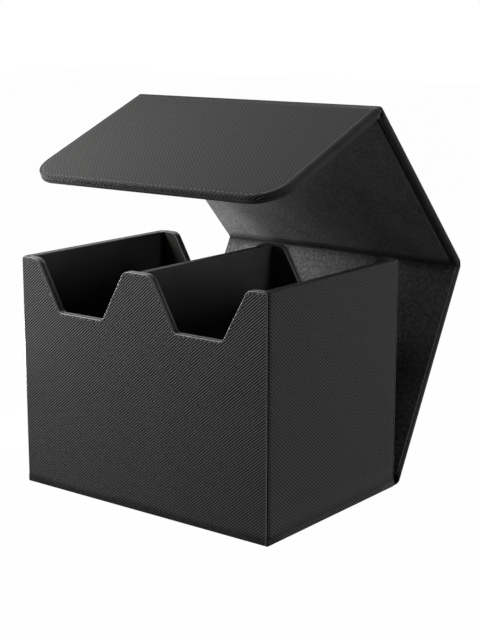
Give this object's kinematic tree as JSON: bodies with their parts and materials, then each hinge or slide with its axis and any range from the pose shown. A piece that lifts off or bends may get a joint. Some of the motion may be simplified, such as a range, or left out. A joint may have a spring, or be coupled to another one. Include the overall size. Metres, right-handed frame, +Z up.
{
  "type": "graded card storage case",
  "caption": "Open-topped leatherette card case with side-by-side rows, notched end walls and a fold-over lid in stiff hinged panels with a front flap.",
  "frame": {"origin": "centre of the case's underside", "axes": "+Z up, -Y towards the front flap's side, +X to the right of a person facing the front"},
  "size_m": [0.186, 0.2064, 0.2334],
  "materials": {
    "twill_leatherette": "carbon-twill embossed leatherette, satin",
    "plain_leatherette": "smooth leatherette at folds and turned edges, satin",
    "suede_lining": "napped microfibre suede",
    "black_lining": "smooth black leatherette lining, satin",
    "greyboard": "plain solid greyboard",
    "steel": "plain steel disc",
    "magnet": "nickel-plated disc magnet"
  },
  "bodies": {
    "case": {"base_board": "greyboard", "base_cover": "plain_leatherette", "base_fold_strip": "plain_leatherette", "front_board": "greyboard", "front_cover": "twill_leatherette", "front_lining": "black_lining", "front_strike_plates": "steel", "rear_board": "greyboard", "rear_cover": "twill_leatherette", "rear_lining": "black_lining", "left_board": "greyboard", "left_cover": "twill_leatherette", "left_lining": "black_lining", "right_board": "greyboard", "right_cover": "twill_leatherette", "right_lining": "black_lining", "divider_board": "greyboard", "divider_cap": "twill_leatherette", "divider_left_lining": "black_lining", "divider_right_lining": "black_lining", "left_floor_pad": "black_lining", "right_floor_pad": "black_lining"},
    "rear_panel": {"rear_panel_board": "greyboard", "rear_panel_cover": "twill_leatherette", "rear_panel_lining": "suede_lining"},
    "top_fold": {"top_fold_strip": "plain_leatherette"},
    "top_panel": {"top_panel_board": "greyboard", "top_panel_cover": "twill_leatherette", "top_panel_lining": "suede_lining", "flap_fold_strip": "plain_leatherette"},
    "front_flap": {"flap_board": "greyboard", "flap_cover": "twill_leatherette", "flap_lining": "suede_lining", "flap_magnets": "magnet"}
  },
  "joints": [
    {"name": "rear_panel_fold", "type": "hinge", "parent": "case", "child": "rear_panel", "pos_m": [0, 0.0705, 0.0026], "axis": [-1, 0, 0], "range_deg": [-28.6, 61.4]},
    {"name": "top_fold_lower_line", "type": "hinge", "parent": "rear_panel", "child": "top_fold", "pos_m": [0, 0.13965, 0.12671], "axis": [-1, 0, 0], "range_deg": [-9, 36]},
    {"name": "top_fold_upper_line", "type": "hinge", "parent": "top_fold", "child": "top_panel", "pos_m": [0, 0.13914, 0.13068], "axis": [-1, 0, 0], "range_deg": [-9, 36]},
    {"name": "flap_fold", "type": "hinge", "parent": "top_panel", "child": "front_flap", "pos_m": [0, 0.04264, 0.23083], "axis": [-1, 0, 0], "range_deg": [-21, 69]}
  ]
}
